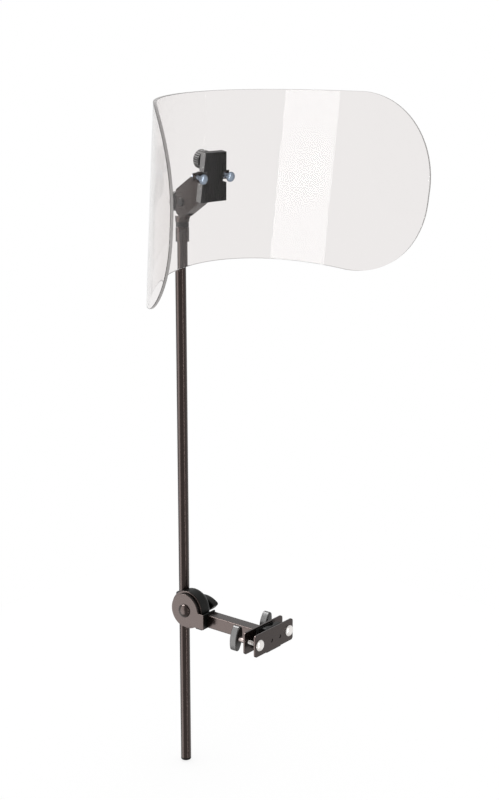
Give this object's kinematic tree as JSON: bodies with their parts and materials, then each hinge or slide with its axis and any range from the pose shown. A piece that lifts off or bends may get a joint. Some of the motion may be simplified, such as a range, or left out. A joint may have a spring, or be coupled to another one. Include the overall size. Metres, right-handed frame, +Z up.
{
  "type": "acoustic shield with stand",
  "caption": "Bent clear sheet on a height-adjustable rod with a tilting head, held by a short jointed arm and a screw clamp.",
  "frame": {"origin": "middle of the rear jaw pad's grip face", "axes": "+Z up along the rod, -Y out of the rear jaw towards the front jaw and the musician, +X along the jaw plates"},
  "size_m": [0.4319, 0.3529, 1.0228],
  "materials": {
    "coated_steel": "satin black powder coat with a brown cast",
    "black_plastic": "moulded, fine satin texture",
    "nylon": "plain moulded",
    "rubber": "matt",
    "bright_zinc": "bright zinc plate",
    "blue_zinc": "blue passivated zinc plate",
    "brass": "turned",
    "clear_sheet": "clear acrylic with polished edges"
  },
  "bodies": {
    "root": {"arm_tube": "coated_steel", "arm_end_insert": "black_plastic", "ear_plate": "coated_steel", "friction_disc": "nylon", "joint_bolt": "coated_steel", "rear_jaw_plate": "coated_steel", "rear_jaw_pad": "rubber"},
    "front_jaw": {"front_jaw_plate": "coated_steel", "vee_block": "black_plastic", "vee_block_screw_left": "bright_zinc", "vee_block_screw_right": "bright_zinc", "jaw_bolt_left": "bright_zinc", "jaw_bolt_right": "bright_zinc"},
    "left_jaw_knob": {"jaw_knob_left": "black_plastic", "jaw_knob_ferrule_left": "bright_zinc"},
    "right_jaw_knob": {"jaw_knob_right": "black_plastic", "jaw_knob_ferrule_right": "bright_zinc"},
    "rod_clamp": {"clamp_body": "black_plastic", "pressure_disc": "coated_steel"},
    "knob_washer": {"joint_knob_washer": "bright_zinc"},
    "wing_knob": {"joint_knob": "black_plastic", "joint_knob_insert": "brass"},
    "bush": {"rod_bush": "nylon"},
    "rod": {"rod_tube": "coated_steel", "rod_end_plug": "black_plastic", "rod_sleeve": "coated_steel", "socket_ring": "black_plastic", "head_socket": "coated_steel"},
    "neck": {"neck_bracket": "coated_steel", "pivot_pin": "black_plastic"},
    "shield": {"head_block": "black_plastic", "cross_bar": "coated_steel", "sheet_bolt_left": "blue_zinc", "sheet_bolt_right": "blue_zinc", "sheet_nut_left": "blue_zinc", "sheet_nut_right": "blue_zinc", "shield_panel": "clear_sheet"},
    "block_washer": {"knurled_knob_washer": "bright_zinc"},
    "block_knob": {"knurled_knob": "black_plastic", "knurled_knob_screw": "bright_zinc"},
    "lock_washer": {"tilt_lock_washer": "bright_zinc"},
    "lock_knob": {"tilt_lock_knob": "black_plastic", "tilt_lock_screw": "bright_zinc"}
  },
  "joints": [
    {"name": "jaw_slide", "type": "slide", "parent": "root", "child": "front_jaw", "axis": [0, -1, 0], "range_m": [-0.0045, 0.013]},
    {"name": "left_jaw_knob_turn", "type": "hinge", "parent": "root", "child": "left_jaw_knob", "pos_m": [-0.03515, 0.03, 0], "axis": [0, 1, 0], "range_deg": [-1621, 4681]},
    {"name": "right_jaw_knob_turn", "type": "hinge", "parent": "root", "child": "right_jaw_knob", "pos_m": [0.03515, 0.03, 0], "axis": [0, 1, 0], "range_deg": [-1621, 4681]},
    {"name": "arm_tilt", "type": "hinge", "parent": "root", "child": "rod_clamp", "pos_m": [0, 0.1362, 0.0122], "axis": [1, 0, 0], "range_deg": [-50, 90]},
    {"name": "joint_knob_travel", "type": "slide", "parent": "root", "child": "knob_washer", "axis": [1, 0, 0], "range_m": [0, 0.00187]},
    {"name": "joint_knob_turn", "type": "hinge", "parent": "knob_washer", "child": "wing_knob", "pos_m": [0.02, 0.1362, 0.0122], "axis": [1, 0, 0], "range_deg": [0, 541]},
    {"name": "rod_turn", "type": "hinge", "parent": "rod_clamp", "child": "bush", "pos_m": [-0.0065, 0.1523, 0.0122], "axis": [0, 0, 1], "continuous": true},
    {"name": "rod_height", "type": "slide", "parent": "bush", "child": "rod", "axis": [0, 0, 1], "range_m": [-0.475, 0.22]},
    {"name": "shield_tilt", "type": "hinge", "parent": "rod", "child": "neck", "pos_m": [-0.00822, 0.14449, 0.6255], "axis": [0.9767, -0.2147, 0], "range_deg": [-16, 24]},
    {"name": "shield_roll", "type": "hinge", "parent": "neck", "child": "shield", "pos_m": [-0.02531, 0.06674, 0.67699], "axis": [0.2097, 0.9539, 0.2147], "range_deg": [-10, 20]},
    {"name": "block_knob_travel", "type": "slide", "parent": "shield", "child": "block_washer", "axis": [0.2097, 0.9539, 0.2147], "range_m": [0, 0.0015]},
    {"name": "block_knob_turn", "type": "hinge", "parent": "block_washer", "child": "block_knob", "pos_m": [-0.02531, 0.06674, 0.67699], "axis": [0.2097, 0.9539, 0.2147], "range_deg": [0, 541]},
    {"name": "tilt_lock_travel", "type": "slide", "parent": "neck", "child": "lock_washer", "axis": [0.2147, 0.9767, 0], "range_m": [0, 0.0015]},
    {"name": "tilt_lock_turn", "type": "hinge", "parent": "lock_washer", "child": "lock_knob", "pos_m": [-0.00822, 0.14449, 0.627], "axis": [0.2147, 0.9767, 0], "range_deg": [0, 541]}
  ],
  "couplings": [
    {"joint": "left_jaw_knob_turn", "follows": "jaw_slide", "rad_per_m": 6283.2},
    {"joint": "right_jaw_knob_turn", "follows": "jaw_slide", "rad_per_m": 6283.2},
    {"joint": "joint_knob_turn", "follows": "joint_knob_travel", "rad_per_m": 5026.5},
    {"joint": "block_knob_turn", "follows": "block_knob_travel", "rad_per_m": 6283.2},
    {"joint": "tilt_lock_turn", "follows": "tilt_lock_travel", "rad_per_m": 6283.2}
  ]
}
